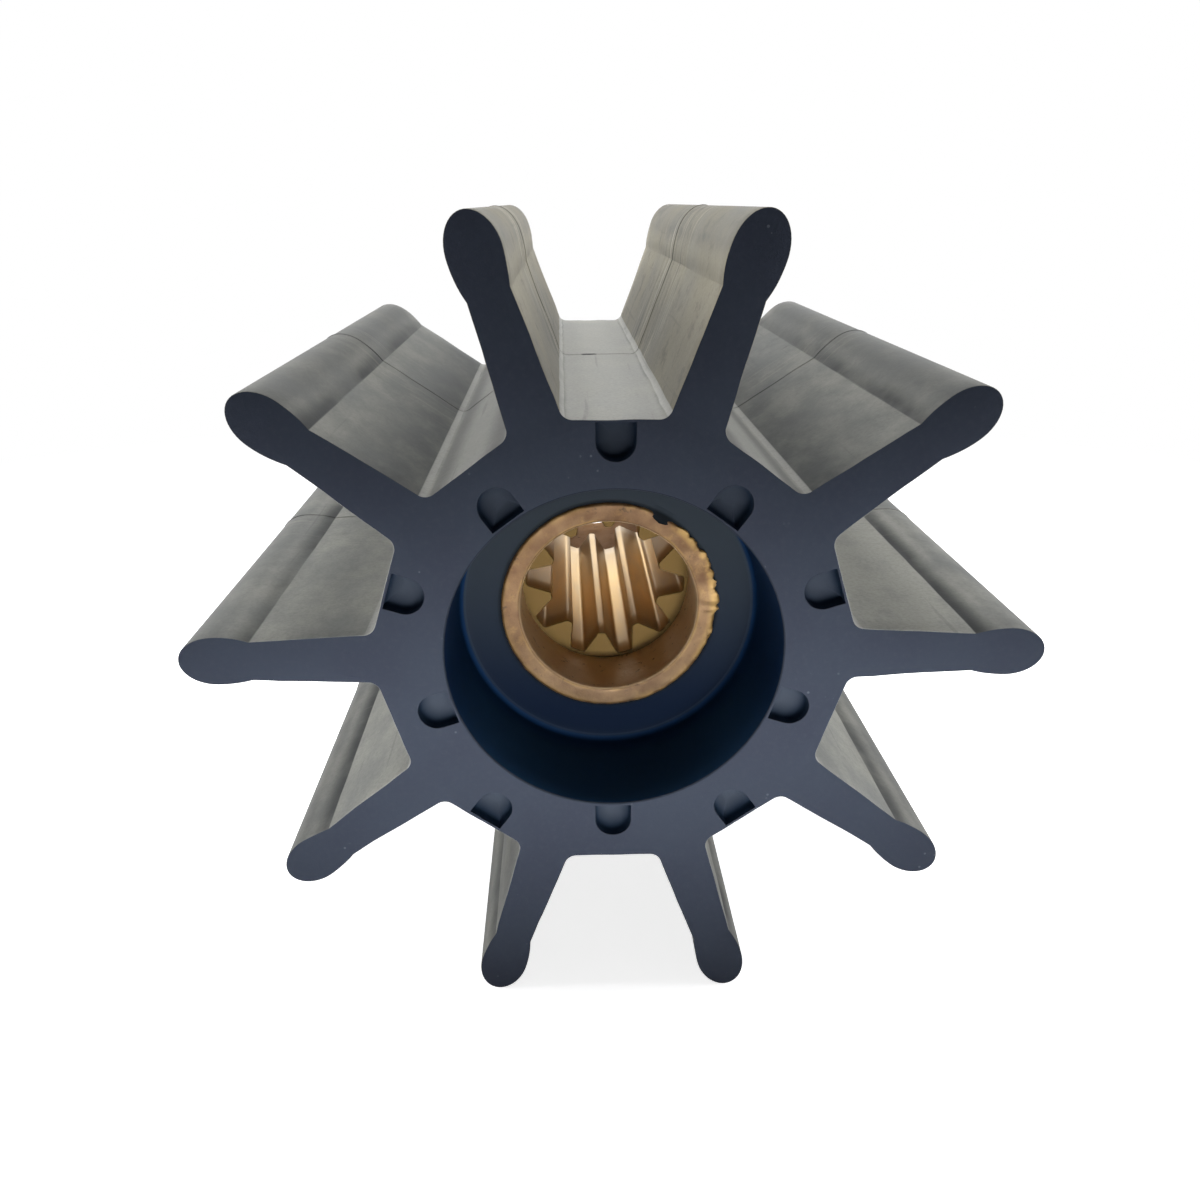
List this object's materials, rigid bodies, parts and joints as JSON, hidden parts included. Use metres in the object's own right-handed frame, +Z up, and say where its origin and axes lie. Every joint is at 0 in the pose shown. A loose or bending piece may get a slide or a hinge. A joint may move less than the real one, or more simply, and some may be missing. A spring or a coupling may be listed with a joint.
{
  "type": "rubber pump impeller",
  "caption": "Flexible rubber pump impeller with straight bulb-tipped blades moulded round a bronze insert that has a splined bore.",
  "frame": {"origin": "centre of the impeller, on the shaft axis at mid-length", "axes": "+Y along the shaft axis, from the front end face with the deep recess to the back end face; +Z up; two blades lie level along X"},
  "size_m": [0.0952, 0.096, 0.0908],
  "materials": {
    "rubber": "matt moulded rubber with ground end faces",
    "bronze": "cast and broached bronze, bare"
  },
  "bodies": {
    "root": {"rubber_body": "rubber", "splined_insert": "bronze"}
  },
  "joints": []
}
